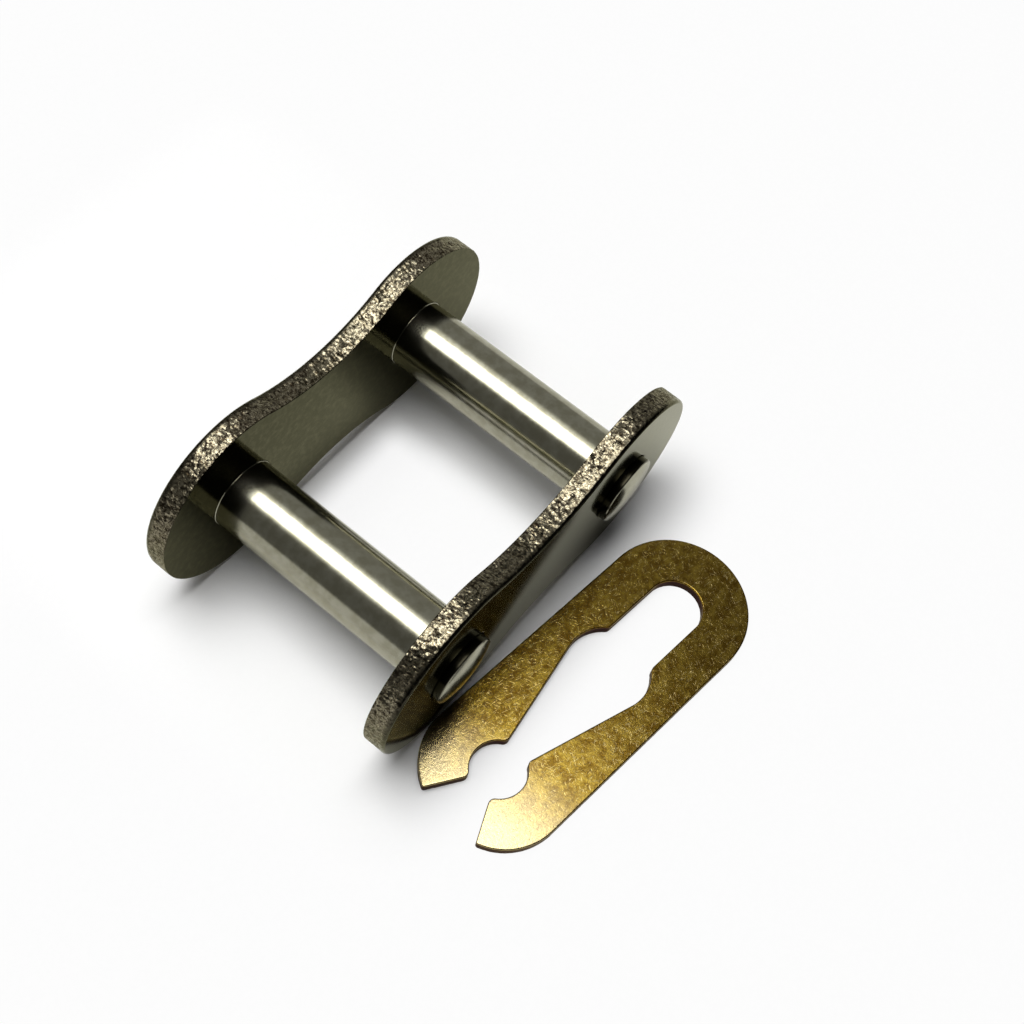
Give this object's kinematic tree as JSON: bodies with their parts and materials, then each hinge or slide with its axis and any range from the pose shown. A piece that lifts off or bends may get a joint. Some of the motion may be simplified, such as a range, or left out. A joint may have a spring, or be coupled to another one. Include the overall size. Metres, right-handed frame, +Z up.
{
  "type": "roller chain connecting link",
  "caption": "Roller-chain connecting link: pin plate with riveted pins, slip-on cover plate, and its spring clip taken off and laid in front.",
  "frame": {"origin": "on the trailing pin's axis, midway between the inner faces of the two link plates as they stand", "axes": "+X along the chain's direction of travel, from the trailing pin to the leading pin; -Y along the pins towards their free ends, the cover plate and the clip; +Z up from the surface that the link stands on"},
  "size_m": [0.0345, 0.0363, 0.0154],
  "materials": {
    "plate_steel": "dark heat-treated, bright stamped edge",
    "pin_steel": "ground and polished",
    "clip_steel": "spring steel, tempered golden brown"
  },
  "bodies": {
    "cover": {"cover_plate": "plate_steel", "spring_clip": "clip_steel"},
    "pin_link": {"pin_plate": "plate_steel", "leading_pin": "pin_steel", "trailing_pin": "pin_steel"}
  },
  "joints": [
    {"name": "pin_slide", "type": "slide", "parent": "cover", "child": "pin_link", "axis": [0, 1, 0], "range_m": [-0.0182, 0.025]}
  ]
}
